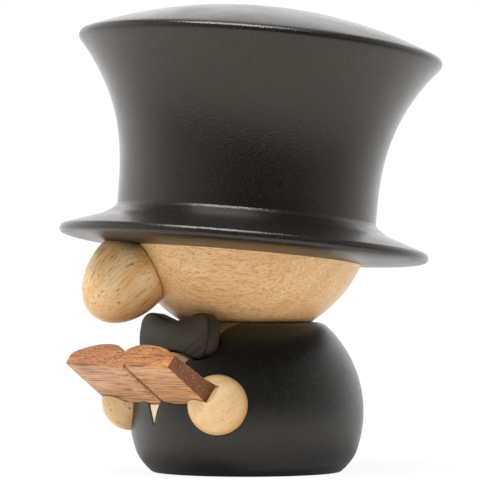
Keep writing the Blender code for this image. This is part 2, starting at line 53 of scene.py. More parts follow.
COAT_CENTRE = Vector((0.0, 0.0, 0.0154))
COAT_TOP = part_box("torso")[1].z
COAT_TOP_ROUNDING = 0.0016
COAT_TOP_TRIM = 2.2         # arc left out beside the top's corner, in roundings
COAT_BASE_ROUNDING = 0.0004
COAT_TUCK = 0.0016          # how far the foot is drawn in from the ball
COAT_TUCK_HEIGHT = 0.0055
LATHE_STEPS = 192
ARC_STEP = math.radians(2.5)
CORNER_STEPS = 6
CORNER_ANGLE = math.radians(32.0)
WELD = 0.000001


def linear(hex_colour):
    """An sRGB hex colour as the linear colour that shaders take."""
    channels = [int(hex_colour[place:place + 2], 16) / 255 for place in (1, 3, 5)]
    return (*[c / 12.92 if c <= 0.04045 else ((c + 0.055) / 1.055) ** 2.4 for c in channels], 1.0)


def add(tree, kind, links=None, **settings):
    """Adds a node, with its settings, and with a value or a link for each socket named in links."""
    made = tree.nodes.new("ShaderNode" + kind)
    for setting, value in settings.items():
        setattr(made, setting, value)
    for socket, value in (links or {}).items():
        if isinstance(value, bpy.types.NodeSocket):
            tree.links.new(value, made.inputs[socket])
        else:
            made.inputs[socket].default_value = value
    return made


def calculate(tree, operation, *values):
    return add(tree, "Math", dict(enumerate(values)), operation=operation).outputs["Value"]


def ramp(tree, value, start, end, low=0.0, high=1.0, **settings):
    """Maps a value from between start and end to between low and high, and holds it beyond them."""
    links = {"Value": value, "From Min": start, "From Max": end, "To Min": low, "To Max": high}
    return add(tree, "MapRange", links, **settings).outputs["Result"]


def blend(tree, share, colour, other):
    """Mixes a share of another colour into a colour. Each is a hex colour or a link."""
    pair = [linear(each) if isinstance(each, str) else each for each in (colour, other)]
    links = {0: share, 6: pair[0], 7: pair[1]}
    return add(tree, "Mix", links, data_type="RGBA").outputs[2]


def grain_noise(tree, grain, width, length, detail=2.0):
    """Noise in patches of a real width, and of a real length along the grain's own Z axis."""
    space = add(tree, "Mapping", {
        "Vector": add(tree, "TexCoord").outputs["Object"], "Location": grain.to_translation(),
        "Rotation": grain.to_euler(), "Scale": (width, width, length),
    }, vector_type="TEXTURE").outputs["Vector"]
    links = {"Vector": space, "Scale": 1.0, "Detail": detail}
    return add(tree, "TexNoise", links).outputs["Fac"]


def emboss(tree, shader, relief, strength, depth):
    bump = add(tree, "Bump", {"Height": relief, "Strength": strength, "Distance": depth})
    tree.links.new(bump.outputs["Normal"], shader.inputs["Normal"])


def new_material(name):
    """A new material with its node tree and its shader."""
    material = bpy.data.materials.new(name)
    material.use_nodes = True
    return material, material.node_tree, material.node_tree.nodes["Principled BSDF"]


def black_stain(name, grain, stain, worn, sheen, roughness, pore_depth, brush_depth, ior):
    """Hardwood dyed black under satin lacquer: near black and faintly brown, with the pores still
    open as fine dark lines along the grain, and a sheen that brightens at a glancing angle."""
    PORE_WIDTH = 0.00030    # drawn about twice as wide as real ones, so that they show
    PORE_LENGTH = 0.0030
    PORE_LEVELS = (0.64, 0.74)
    PORE_BLACK = "#080707"
    BRUSH_WIDTH = 0.0006
    BRUSH_LENGTH = 0.016
    CLOUD_SIZE = 0.011
    GRIT_SIZE = 0.00045     # coarser than real dust in lacquer, so that it shows
    GRIT_RELIEF = 1.2
    WEAR_LEVELS = (0.48, 0.72)
    GLOSS_SPAN = 0.3        # to each side of the noise's middle
    GLOSS_CHANGE = 0.05
    RELIEF_STRENGTH = 0.5
    RELIEF_DEPTH = 0.0001
    material, tree, shader = new_material(name)
    fibre = grain_noise(tree, grain, PORE_WIDTH, PORE_LENGTH)
    brush = grain_noise(tree, grain, BRUSH_WIDTH, BRUSH_LENGTH)
    cloud = grain_noise(tree, grain, CLOUD_SIZE, CLOUD_SIZE)
    grit = grain_noise(tree, grain, GRIT_SIZE, GRIT_SIZE)
    pores = ramp(tree, fibre, *PORE_LEVELS)
    wear = ramp(tree, grit, *WEAR_LEVELS)
    colour = blend(tree, pores, blend(tree, wear, stain, worn), PORE_BLACK)
    tree.links.new(colour, shader.inputs["Base Color"])
    uneven = calculate(tree, "MULTIPLY_ADD", brush, brush_depth, cloud)
    middle = 0.5 + 0.5 * brush_depth
    gloss = ramp(
        tree, uneven, middle - GLOSS_SPAN, middle + GLOSS_SPAN,
        roughness - GLOSS_CHANGE, roughness + GLOSS_CHANGE,
    )
    tree.links.new(gloss, shader.inputs["Roughness"])
    hollow = calculate(tree, "MULTIPLY", pores, -pore_depth)
    combed = calculate(tree, "MULTIPLY_ADD", brush, brush_depth, hollow)
    relief = calculate(tree, "MULTIPLY_ADD", grit, GRIT_RELIEF, combed)
    emboss(tree, shader, relief, RELIEF_STRENGTH, RELIEF_DEPTH)
    shader.inputs["IOR"].default_value = ior
    shader.inputs["Specular Tint"].default_value = linear(sheen)
    return material


def arc(radius, centre_height, start, end):
    """Points of a turned ball's profile, from one angle above its equator to another."""
    count = max(2, round(abs(end - start) / ARC_STEP))
    angles = [start + (end - start) * step / count for step in range(count + 1)]
    return [(radius * math.cos(a), centre_height + radius * math.sin(a)) for a in angles]


def turned(profile, rounding=None, steps=LATHE_STEPS):
    """Spins a profile of (radius, height) points, with some of its corners rounded first."""
    shape = bmesh.new()
    points = [shape.verts.new((radius, 0.0, height)) for radius, height in profile]
    for pair in zip(points, points[1:]):
        shape.edges.new(pair)
    for index, offset in (rounding or {}).items():
        bmesh.ops.bevel(
            shape, geom=[points[index]], offset=offset, segments=CORNER_STEPS, profile=0.5,
            affect="VERTICES", material=-1,
        )
    bmesh.ops.spin(
        shape, geom=shape.verts[:] + shape.edges[:], cent=(0.0, 0.0, 0.0), axis=(0.0, 0.0, 1.0),
        angle=math.tau, steps=steps, use_merge=True,
    )
    bmesh.ops.remove_doubles(shape, verts=shape.verts, dist=WELD)
    bmesh.ops.recalc_face_normals(shape, faces=shape.faces)
    return shape


def smooth(mesh):
    mesh.shade_smooth()
    mesh.set_sharp_from_angle(angle=CORNER_ANGLE)


def finish(name, shape, material, body, node):
    """Makes a piece of a shape. It stands for a CAD node and moves with that node's body."""
    mesh = bpy.data.meshes.new(name)
    shape.to_mesh(mesh)
    shape.free()
    mesh.materials.append(material)
    smooth(mesh)
    piece = bpy.data.objects.new(name, mesh)
    bpy.context.scene.collection.objects.link(piece)
    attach(piece, body)
    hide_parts(node)
    return piece


coat_top_angle = math.asin((COAT_TOP - COAT_CENTRE.z) / COAT_RADIUS)
coat_base_angle = math.asin(-COAT_CENTRE.z / COAT_RADIUS)
coat_trim = COAT_TOP_TRIM * COAT_TOP_ROUNDING / COAT_RADIUS
coat_profile = [(0.0, COAT_TOP), (COAT_RADIUS * math.cos(coat_top_angle), COAT_TOP)]
coat_arc = arc(COAT_RADIUS, COAT_CENTRE.z, coat_top_angle - coat_trim, coat_base_angle)
for radius, height in coat_arc:
    tuck = COAT_TUCK * max(0.0, 1.0 - height / COAT_TUCK_HEIGHT) ** 2
    coat_profile.append((radius - tuck, height))
coat_profile.append((0.0, 0.0))
coat_shape = turned(
    coat_profile, {1: COAT_TOP_ROUNDING, len(coat_profile) - 2: COAT_BASE_ROUNDING}
)
COAT_GRAIN = Matrix.Translation(COAT_CENTRE)
COAT_BLACK = black_stain(
    "coat_black_stained_wood", COAT_GRAIN, "#090908", "#151412", "#fffaf4",
    roughness=0.34, pore_depth=3.0, brush_depth=0.2, ior=1.47,
)
coat = finish("coat", coat_shape, COAT_BLACK, "torso", "torso")

# The shirt front: an inlay of pale, bare hardwood with a ball-shaped face, glued into a V that is
# carved in the coat. It lies a little below the coat, between lapels that are rounded by sanding,
# and its colour is darkened towards the collar as painted shade under the head.
SHIRT_TIP = 0.0126
SHIRT_TIP_GROWTH = 0.8      # how far the tip of a wider V moves down, for each unit of width
SHIRT_TIP_HEIGHT = 0.002    # over which a wider V reaches its full width
SHIRT_HALF_WIDTH = 0.01385
SHIRT_CURVE = 1.25          # the lapels spread faster towards the collar
SHIRT_RECESS = 0.0002
SHIRT_DEPTH = 0.0050
SHIRT_RISE = 0.002          # of the cutting shape above the coat
SHIRT_REACH = 0.008         # of the cutting shape in front of the coat
SHIRT_STEPS = 20
SHIRT_STEP_POWER = 1.5      # closer steps near the tip
LAPEL_ROUNDING = 0.0004
LAPEL_STEPS = 6
COLLAR_SHADE_REACH = 0.0050         # how far the painted shade under the head reaches down from the collar
COLLAR_SHADE_FULL = 0.0015
COLLAR_SHADE_SHARE = 0.9
COLLAR_SHADE_BROWN = "#5e462d"
SEAT_GAP = 0.0002           # left round a piece that is let into another


def on_ball(x, z, radius):
    return -math.sqrt(radius**2 - x**2 - (z - COAT_CENTRE.z) ** 2)


def shirt_loop(radius, grow):
    """The V on a ball, made wider by grow on each side, with upright ends above the coat."""
    sides = []
    tip = SHIRT_TIP - SHIRT_TIP_GROWTH * grow
    for step in range(SHIRT_STEPS + 1):
        height = tip + (COAT_TOP - tip) * (step / SHIRT_STEPS) ** SHIRT_STEP_POWER
        rise = max(0.0, height - SHIRT_TIP) / (COAT_TOP - SHIRT_TIP)
        wider = grow * min(1.0, (height - tip) / SHIRT_TIP_HEIGHT)
        edge = SHIRT_HALF_WIDTH * rise**SHIRT_CURVE + wider
        on_coat = Vector((edge, on_ball(edge, height, COAT_RADIUS), height))
        sides.append(COAT_CENTRE + (on_coat - COAT_CENTRE) * radius / COAT_RADIUS)
    sides.append(Vector((sides[-1].x, sides[-1].y, COAT_TOP + SHIRT_RISE)))
    return [Vector((-p.x, p.y, p.z)) for p in reversed(sides[1:])] + sides


def lofted(layers):
    """A solid bridged from V loops, each given as a ball's radius and how much wider the V is."""
    shape = bmesh.new()
    loops = []
    for radius, grow in layers:
        ring = [shape.verts.new(point) for point in shirt_loop(radius, grow)]
        loops.append([shape.edges.new(pair) for pair in zip(ring, ring[1:] + ring[:1])])
    for lower, upper in zip(loops, loops[1:]):
        bmesh.ops.bridge_loops(shape, edges=lower + upper)
    for cap in (loops[0], loops[-1]):
        bmesh.ops.contextual_create(shape, geom=cap)
    bmesh.ops.recalc_face_normals(shape, faces=shape.faces)
    return shape


def weld(shape, distance):
    """Merges points that lie on each other and drops the slivers between them."""
    bmesh.ops.remove_doubles(shape, verts=shape.verts, dist=distance)
    bmesh.ops.dissolve_degenerate(shape, edges=shape.edges, dist=distance)
    bmesh.ops.recalc_face_normals(shape, faces=shape.faces)


def carve(piece, shape, operation="DIFFERENCE"):
    """Cuts a shape out of a piece, or keeps only what lies in both."""
    tool_mesh = bpy.data.meshes.new("tool")
    shape.to_mesh(tool_mesh)
    shape.free()
    tool = bpy.data.objects.new("tool", tool_mesh)
    bpy.context.scene.collection.objects.link(tool)
    modifier = piece.modifiers.new("carve", "BOOLEAN")
    modifier.operation = operation
    modifier.solver = "MANIFOLD"
    modifier.object = tool
    before = piece.data
    evaluated = piece.evaluated_get(bpy.context.evaluated_depsgraph_get())
    piece.data = bpy.data.meshes.new_from_object(evaluated)
    piece.modifiers.clear()
    carved = bmesh.new()
    carved.from_mesh(piece.data)
    weld(carved, WELD)
    carved.to_mesh(piece.data)
    carved.free()
    smooth(piece.data)
    bpy.data.objects.remove(tool)
    bpy.data.meshes.remove(tool_mesh)
    bpy.data.meshes.remove(before)


def rubberwood(name, grain, pale, deep, marks, roughness=0.40):
    """Oiled rubberwood: tan that drifts along the grain, fine silky fibres, and marks along the
    grain, which are soft orange flecks and open brown pores that end grain shows as dots. Each mark
    is its width, length, noise level where it starts, span to its full colour, and colour.
    The last ones are open, so they don't shine."""
    DRIFT_WIDTH = 0.0050
    DRIFT_LENGTH = 0.030
    FIBRE_WIDTH = 0.0004
    FIBRE_LENGTH = 0.010
    FIBRE_SHARE = 0.5       # in the tone, beside the drift
    TONE_LEVELS = (0.32, 0.68)
    GLOSS_LEVELS = (0.3, 0.7)
    GLOSS_CHANGE = 0.05
    SHINE = 0.5
    OPEN_SHINE = 0.05
    RELIEF_STRENGTH = 0.25
    RELIEF_DEPTH = 0.0001
    OIL_IOR = 1.50
    material, tree, shader = new_material(name)
    drift = grain_noise(tree, grain, DRIFT_WIDTH, DRIFT_LENGTH)
    fibre = grain_noise(tree, grain, FIBRE_WIDTH, FIBRE_LENGTH)
    silk = calculate(tree, "MULTIPLY_ADD", fibre, FIBRE_SHARE, -FIBRE_SHARE / 2)
    tone = ramp(tree, calculate(tree, "ADD", drift, silk), *TONE_LEVELS)
    colour = blend(tree, tone, pale, deep)
    relief = fibre
    for width, length, level, span, mark_colour in marks:
        depth = ramp(tree, grain_noise(tree, grain, width, length), level, level + span)
        colour = blend(tree, depth, colour, mark_colour)
        relief = calculate(tree, "MULTIPLY_ADD", depth, -1.0, relief)
    tree.links.new(colour, shader.inputs["Base Color"])
    gloss = ramp(tree, fibre, *GLOSS_LEVELS, roughness - GLOSS_CHANGE, roughness + GLOSS_CHANGE)
    tree.links.new(gloss, shader.inputs["Roughness"])
    matt = ramp(tree, depth, 0.0, 1.0, SHINE, OPEN_SHINE)
    tree.links.new(matt, shader.inputs["Specular IOR Level"])
    emboss(tree, shader, relief, RELIEF_STRENGTH, RELIEF_DEPTH)
    shader.inputs["IOR"].default_value = OIL_IOR
    return material


def paint_height_shade(material, start, end, share, colour):
    """Paints shade into a wood's colour, from nothing at one height to its share at another."""
    tree = material.node_tree
    shader = tree.nodes["Principled BSDF"]
    bare = shader.inputs["Base Color"].links[0].from_socket
    here = add(tree, "TexCoord").outputs["Object"]
    height = add(tree, "SeparateXYZ", {"Vector": here}).outputs["Z"]
    shaded_colour = blend(tree, ramp(tree, height, start, end, 0.0, share), bare, colour)
    tree.links.new(shaded_colour, shader.inputs["Base Color"])


lapel_layers = [(COAT_RADIUS - SHIRT_DEPTH, 0.0)]
for step in range(LAPEL_STEPS + 1):
    angle = math.pi / 2 * step / LAPEL_STEPS
    lapel_radius = COAT_RADIUS - LAPEL_ROUNDING * (1.0 - math.sin(angle))
    lapel_layers.append((lapel_radius, LAPEL_ROUNDING * (1.0 - math.cos(angle))))
lapel_layers.append((COAT_RADIUS + SHIRT_REACH, LAPEL_ROUNDING))
carve(coat, lofted(lapel_layers))
SHIRT_MARKS = [(0.0003, 0.0020, 0.60, 0.15, "#cda274")]
SHIRT_WOOD = rubberwood("shirt_rubberwood", COAT_GRAIN, "#f0d9ba", "#e4c6a0", SHIRT_MARKS)
# the shirt darkens towards the collar: painted shade where the head overhangs it
paint_height_shade(SHIRT_WOOD, COAT_TOP - COLLAR_SHADE_REACH, COAT_TOP - COLLAR_SHADE_FULL, COLLAR_SHADE_SHARE, COLLAR_SHADE_BROWN)
shirt_shape = lofted([
    (COAT_RADIUS - SHIRT_DEPTH + SEAT_GAP, -SEAT_GAP / 4),
    (COAT_RADIUS + SHIRT_REACH, -SEAT_GAP / 4),
])
shirt = finish("shirt_inlay", shirt_shape, SHIRT_WOOD, "torso", "shirt_front")
shirt_radius = COAT_RADIUS - SHIRT_RECESS
shirt_top_angle = math.asin((COAT_TOP - COAT_CENTRE.z) / shirt_radius)
shirt_face = [(0.0, COAT_TOP)]
shirt_face += arc(shirt_radius, COAT_CENTRE.z, shirt_top_angle, -math.pi / 2)
carve(shirt, turned(shirt_face), "INTERSECT")

# The bow tie: sawn from a thin board, its lobes and waist rounded with a file, and stained black
# with a brush. It is glued into a seat that is cut across the coat and the shirt.
TIE_HALF_WIDTH = 0.0145
TIE_LOBE = 0.00585          # half height of a lobe
TIE_WAIST = 0.0033          # half height of the waist
TIE_LOBE_PLACE = 0.0088
TIE_END_CROWN = 0.0009
TIE_THICKNESS = 0.0039
TIE_EDGE = 0.0007
TIE_EDGE_STEPS = 4
TIE_DROP = 0.0033
TIE_PROUD = 0.0010
TIE_LEAN = math.radians(5.0)
TIE_GRAIN_LEAN = math.radians(62.0)
# corners of the outline with their rounding: outer lobes, crowned ends, waist and inner lobes
TIE_ROUNDINGS = (
    ((2, 4, 8, 10), 0.0031), ((3, 9), 0.0014), ((0, 6), 0.0040), ((1, 5, 7, 11), 0.0012),
)
PLATE_CORNER_STEPS = 10
CUT_REACH = 0.02            # of a cutting shape out of the wood


def plate(outline, start, end, rounding=()):
    """An outline in X and Z with some corners rounded, made thick from start to end along Y."""
    shape = bmesh.new()
    points = [shape.verts.new((x, start, z)) for x, z in outline]
    shape.faces.new(points)
    for indices, offset in rounding:
        bmesh.ops.bevel(
            shape, geom=[points[index] for index in indices], offset=offset,
            segments=PLATE_CORNER_STEPS, profile=0.5, affect="VERTICES", material=-1,
        )
    grown = bmesh.ops.extrude_face_region(shape, geom=shape.faces[:])
    moved = [item for item in grown["geom"] if isinstance(item, bmesh.types.BMVert)]
    bmesh.ops.translate(shape, vec=(0.0, end - start, 0.0), verts=moved)
    bmesh.ops.recalc_face_normals(shape, faces=shape.faces)
    return shape


def bevel_edges(shape, edges, offset, segments, clamp):
    bmesh.ops.bevel(
        shape, geom=edges, offset=offset, segments=segments, profile=0.5, affect="EDGES",
        material=-1, clamp_overlap=clamp,
    )


def tie_plate(grow, start, end):
    """The bow's outline, made larger by grow all round."""
    side = TIE_HALF_WIDTH + grow
    top = TIE_LOBE + grow
    upper = [(TIE_LOBE_PLACE, top), (side - TIE_END_CROWN, top), (side, 0.0)]
    right = [(0.0, TIE_WAIST + grow)] + upper + [(x, -z) for x, z in reversed(upper[:2])]
    return plate(right + [(-x, -z) for x, z in right], start, end, TIE_ROUNDINGS)


tie_height = COAT_TOP - TIE_DROP
tie_front = on_ball(0.0, tie_height, COAT_RADIUS) - TIE_PROUD
tie_place = Matrix.Translation((0.0, tie_front, tie_height)) @ Matrix.Rotation(-TIE_LEAN, 4, "X")
TIE_GRAIN = tie_place @ Matrix.Rotation(TIE_GRAIN_LEAN, 4, "Y")
TIE_BLACK = black_stain(
    "tie_black_stained_wood", TIE_GRAIN, "#231d14", "#35291a", "#ffeed6",
    roughness=0.46, pore_depth=2.0, brush_depth=1.8, ior=1.42,
)
tie_shape = tie_plate(0.0, 0.0, TIE_THICKNESS)
tie_rims = [edge for edge in tie_shape.edges if edge.calc_face_angle(0.0) > CORNER_ANGLE]
bevel_edges(tie_shape, tie_rims, TIE_EDGE, TIE_EDGE_STEPS, clamp=False)
bmesh.ops.transform(tie_shape, matrix=tie_place, verts=tie_shape.verts)
finish("bow", tie_shape, TIE_BLACK, "torso", "bow_tie")
for seat_holder in (coat, shirt):
    seat = tie_plate(SEAT_GAP, -CUT_REACH, TIE_THICKNESS + SEAT_GAP)
    bmesh.ops.transform(seat, matrix=tie_place, verts=seat.verts)
    carve(seat_holder, seat)

# The open book: carved from one block of red-brown hardwood, with the grain across its pages, the
# pages swept up from the gutter, and a raised round spine along its cover. It is only pushed into
# saw cuts in the hands and slides out along its own slope.
joints = {joint["name"]: joint for joint in frame["joints"]}
BOOK_SLIDE = Vector(joints["book_slide"]["axis"])
BOOK_SLOPE = math.atan2(BOOK_SLIDE.z, -BOOK_SLIDE.y)
BOOK_LENGTH = 0.0150
BOOK_HALF_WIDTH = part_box("book")[1].x
BOOK_EDGE_THICKNESS = 0.0036
BOOK_TAPER = 0.0011         # how much thicker the fore-edges are at the foot
BOOK_TAPER_POWER = 4        # how close to the fore-edges that stays
BOOK_CREST = 0.0066
BOOK_CREST_PLACE = 0.0080
BOOK_GUTTER = 0.0042
BOOK_GUTTER_POWER = 3       # how late the pages fall towards the gutter
BOOK_SPINE_HALF = 0.0034
BOOK_SPINE_RISE = 0.0006
BOOK_SPINE_START = 3        # the spine's first step that stands clear of the cover
BOOK_GROOVE = 0.0008        # beside the spine, at the figure's left; its floor is painted dark as shade in the groove
BOOK_EDGE = 0.00025
BOOK_EDGE_ANGLE = math.radians(50.0)
BOOK_EDGE_STEPS = 5
BOOK_WORN_EDGE = 0.0012     # the fore-edge at the figure's right
BOOK_SLOT_DEPTH = 0.0024
BOOK_SLOT_SIDE = (0.75, 0.7)    # where the slot turns in round the spine, in parts of the spine
BOOK_SLOT_FLAT = 0.4            # half width of the slot's flat below the spine, in the same parts
BOOK_COVER_DROP = 0.0031
BOOK_FOOT = 0.0012          # how far its middle goes on into the coat
BOOK_CORNER_RISE = 0.0015   # how much higher the hands hold its corners
BOOK_ASIDE = -0.0006        # the book is pushed in a little off the middle
BOOK_STEPS = 14
BOOK_WELD = 0.000005
END_GRAIN_AND_GROOVE_SHADE = 1               # the book's second and third material
SAWN_END = 2
FORE_EDGE_FACING = 0.8      # how squarely a face looks sideways, down or along the slope
GROOVE_SHADE_FACING = 0.3
END_FACING = 0.7
HAND_RADIUS = 0.0075
HAND_SPREAD = math.radians(37.0)
HAND_RISE = math.radians(5.1)
HAND_SINK = 0.0003          # of a hand's middle below the coat's face
HAND_REACH = COAT_RADIUS - HAND_SINK


def hand_centre(side):
    level = HAND_REACH * math.cos(HAND_RISE)
    across = side * level * math.sin(HAND_SPREAD)
    forwards = -level * math.cos(HAND_SPREAD)
    return COAT_CENTRE + Vector((across, forwards, HAND_REACH * math.sin(HAND_RISE)))


def book_outline(groove_depth):
    """Half of the book's section: pages from gutter to fore-edge, then the cover and the spine."""
    points = []
    for step in range(BOOK_STEPS):
        share = step / BOOK_STEPS
        fall = (BOOK_CREST - BOOK_GUTTER) * (1.0 - share) ** BOOK_GUTTER_POWER
        points.append((BOOK_CREST_PLACE * share, BOOK_CREST - fall))
    for step in range(BOOK_STEPS + 1):
        share = step / BOOK_STEPS
        across = BOOK_CREST_PLACE + (BOOK_HALF_WIDTH - BOOK_CREST_PLACE) * share
        rise = (BOOK_CREST - BOOK_EDGE_THICKNESS) * (1.0 - share**2)
        points.append((across, BOOK_EDGE_THICKNESS + rise))
    points += [(BOOK_HALF_WIDTH, 0.0), (BOOK_SPINE_HALF + BOOK_GROOVE, 0.0)]
    if groove_depth:
        points.append((BOOK_SPINE_HALF, groove_depth))
    for step in range(BOOK_SPINE_START, BOOK_STEPS + 1):
        angle = math.pi / 2 * step / BOOK_STEPS
        points.append((BOOK_SPINE_HALF * math.cos(angle), -BOOK_SPINE_RISE * math.sin(angle)))
    return points


def raise_corners(shape):
    """Lets the foot of the book or of its slot rise from below the crests to the corners."""
    for side in (-1.0, 1.0):
        bmesh.ops.bisect_plane(
            shape, geom=shape.verts[:] + shape.edges[:] + shape.faces[:], dist=WELD,
            plane_co=(side * BOOK_CREST_PLACE, 0.0, 0.0), plane_no=(1.0, 0.0, 0.0),
        )
    for vert in shape.verts:
        if vert.co.y < BOOK_LENGTH / 2:
            past_crest = abs(vert.co.x) - BOOK_CREST_PLACE
            share = past_crest / (BOOK_HALF_WIDTH - BOOK_CREST_PLACE)
            vert.co.y += BOOK_CORNER_RISE * max(0.0, share)


def slot_plate(gap):
    """The saw cut for the book, open through the outer side of both hands."""
    side = BOOK_HALF_WIDTH + CUT_REACH
    shoulder = (BOOK_HALF_WIDTH + BOOK_CREST_PLACE) / 2
    thickness = BOOK_EDGE_THICKNESS + BOOK_TAPER * (1.0 + BOOK_FOOT / BOOK_LENGTH)
    spine_side, spine_rise = BOOK_SLOT_SIDE
    right = [
        (shoulder, BOOK_CREST + gap), (BOOK_HALF_WIDTH + gap, thickness + gap),
        (side, thickness + gap), (side, -gap), (BOOK_SPINE_HALF + gap, -gap),
        (spine_side * BOOK_SPINE_HALF + gap, -spine_rise * BOOK_SPINE_RISE - gap),
        (BOOK_SLOT_FLAT * BOOK_SPINE_HALF, -BOOK_SPINE_RISE - gap),
    ]
    outline = right + [(-x, z) for x, z in reversed(right)]
    shape = plate(outline, -BOOK_FOOT - gap, BOOK_LENGTH + CUT_REACH)
    raise_corners(shape)
    bmesh.ops.transform(shape, matrix=book_place, verts=shape.verts)
    return shape


def worn(edge):
    """Whether the edge runs along the fore-edge at the figure's right, which handling has worn."""
    outermost = min(vert.co.x for vert in edge.verts) > BOOK_HALF_WIDTH - WELD
    return outermost and edge.calc_length() > BOOK_LENGTH / 2


def broken(edge):
    """Whether sandpaper has broken the edge, as it has all but those in gutter and groove and
    round the spine's ends."""
    outer = all(abs(vert.co.x) > BOOK_SPINE_HALF + BOOK_GROOVE / 2 for vert in edge.verts)
    upper = all(vert.co.z > BOOK_EDGE_THICKNESS for vert in edge.verts)
    upper = upper and edge.calc_length() < BOOK_LENGTH / 2
    return edge.calc_face_angle(0.0) > BOOK_EDGE_ANGLE and (outer or upper)


def red_hardwood(name, grain, pale, deep, streak, fleck, streak_level, fleck_level):
    """Oiled red-brown hardwood: warm brown with long dark streaks and short dark pores along the
    grain, and much darker end grain where the pores show as pale, filled dots."""
    DRIFT_WIDTH = 0.0024
    DRIFT_LENGTH = 0.030
    DRIFT_LEVELS = (0.3, 0.7)
    STREAK_WIDTH = 0.00042
    STREAK_LENGTH = 0.0090
    STREAK_SPAN = 0.16
    STREAK_SHARE = 0.9
    FLECK_WIDTH = 0.00026
    FLECK_LENGTH = 0.0010
    FLECK_SPAN = 0.1
    FLECK_SHARE = 0.8
    GLOSS_LEVELS = (0.3, 0.7)
    ROUGHNESS = (0.42, 0.56)
    RELIEF_STRENGTH = 0.45
    RELIEF_DEPTH = -0.0001
    OIL_IOR = 1.48
    DETAIL = 2.5
    material, tree, shader = new_material(name)
    drift_noise = grain_noise(tree, grain, DRIFT_WIDTH, DRIFT_LENGTH, DETAIL)
    streak_noise = grain_noise(tree, grain, STREAK_WIDTH, STREAK_LENGTH, DETAIL)
    fleck_noise = grain_noise(tree, grain, FLECK_WIDTH, FLECK_LENGTH, DETAIL)
    drift = ramp(tree, drift_noise, *DRIFT_LEVELS)
    streaks = ramp(tree, streak_noise, streak_level, streak_level + STREAK_SPAN, 0.0, STREAK_SHARE)
    flecks = ramp(tree, fleck_noise, fleck_level, fleck_level + FLECK_SPAN, 0.0, FLECK_SHARE)
    colour = blend(tree, streaks, blend(tree, drift, pale, deep), streak)
    colour = blend(tree, flecks, colour, fleck)
    tree.links.new(colour, shader.inputs["Base Color"])
    gloss = ramp(tree, streak_noise, *GLOSS_LEVELS, *ROUGHNESS)
    tree.links.new(gloss, shader.inputs["Roughness"])
    relief = calculate(tree, "ADD", flecks, streak_noise)
    emboss(tree, shader, relief, RELIEF_STRENGTH, RELIEF_DEPTH)
    shader.inputs["IOR"].default_value = OIL_IOR
    return material


book_normal = Vector((0.0, math.sin(BOOK_SLOPE), math.cos(BOOK_SLOPE)))
book_foot = Vector((BOOK_ASIDE, hand_centre(1).y, hand_centre(1).z))
book_foot += BOOK_SLIDE * (HAND_RADIUS - BOOK_SLOT_DEPTH) - book_normal * BOOK_COVER_DROP
book_turn = Matrix.Rotation(math.pi, 4, "Z") @ Matrix.Rotation(BOOK_SLOPE, 4, "X")
book_place = Matrix.Translation(book_foot) @ book_turn
BOOK_GRAIN = book_place @ Matrix.Rotation(math.pi / 2, 4, "Y")
BOOK_WOOD = red_hardwood(
    "book_red_hardwood", BOOK_GRAIN, "#c29062", "#a97344", "#693d22", "#64361b",
    streak_level=0.48, fleck_level=0.62,
)
BOOK_END_AND_GROOVE_SHADE = red_hardwood(
    "book_end_grain_and_groove_shade", BOOK_GRAIN, "#7b4420", "#623214", "#45250f", "#d09a5c",
    streak_level=0.53, fleck_level=0.60,
)
BOOK_TOP = red_hardwood(
    "book_sawn_end", BOOK_GRAIN, "#c6864c", "#aa6b37", "#764520", "#542b11",
    streak_level=0.50, fleck_level=0.53,
)
right_half = book_outline(0.0)
left_half = [(-x, z) for x, z in reversed(book_outline(BOOK_GROOVE)[1:-1])]
book_shape = plate(right_half + left_half, -BOOK_FOOT, BOOK_LENGTH)
for vert in book_shape.verts:
    if vert.co.z > BOOK_EDGE_THICKNESS / 2:
        towards_foot = 1.0 - vert.co.y / BOOK_LENGTH
        outwards = (vert.co.x / BOOK_HALF_WIDTH) ** BOOK_TAPER_POWER
        vert.co.z += BOOK_TAPER * towards_foot * outwards
raise_corners(book_shape)
for rounded, offset in ((worn, BOOK_WORN_EDGE), (broken, BOOK_EDGE)):
    rims = [edge for edge in book_shape.edges if rounded(edge)]
    bevel_edges(book_shape, rims, offset, BOOK_EDGE_STEPS, clamp=True)
weld(book_shape, BOOK_WELD)
for face in book_shape.faces:
    leftwards = -face.calc_center_median().x
    outermost = abs(leftwards) > BOOK_HALF_WIDTH - BOOK_EDGE
    in_groove = BOOK_SPINE_HALF < leftwards < BOOK_SPINE_HALF + BOOK_GROOVE
    if outermost and abs(face.normal.x) > FORE_EDGE_FACING:
        face.material_index = END_GRAIN_AND_GROOVE_SHADE
    # the groove's floor: painted shade, in the dark end-grain colour
    elif in_groove and face.normal.z < -GROOVE_SHADE_FACING:
        face.material_index = END_GRAIN_AND_GROOVE_SHADE
    elif abs(face.normal.y) > END_FACING:
        face.material_index = SAWN_END
bmesh.ops.transform(book_shape, matrix=book_place, verts=book_shape.verts)
book = finish("open_book", book_shape, BOOK_WOOD, "book", "book")
book.data.materials.append(BOOK_END_AND_GROOVE_SHADE)
book.data.materials.append(BOOK_TOP)
for slot_holder in (coat, shirt):
    carve(slot_holder, slot_plate(SEAT_GAP))

# The hands: small balls of the same pale wood as the head, each sunk to its middle in a socket of
# the coat on a dowel, and sawn across for the book.
HAND_STEPS = 96
HAND_SIDES = {"left": 1, "right": -1}
HAND_GRAIN_TURN = math.radians(51.0)
HAND_GRAIN_TILTS = {"left": math.radians(48.0), "right": math.radians(-46.0)}
HAND_TONES = {"left": ("#dcbc8e", "#d3a56e"), "right": ("#cfae80", "#c69862")}
HAND_MARKS = {
    "left": [(0.0011, 0.0040, 0.60, 0.20, "#c8945c"), (0.0007, 0.0015, 0.64, 0.14, "#a96f38")],
    "right": [(0.0006, 0.0060, 0.56, 0.16, "#b98f5c"), (0.0005, 0.0050, 0.67, 0.06, "#80512a")],
}


def ball(radius, place):
    shape = turned(arc(radius, 0.0, math.pi / 2, -math.pi / 2), steps=HAND_STEPS)
    bmesh.ops.transform(shape, matrix=place, verts=shape.verts)
    return shape


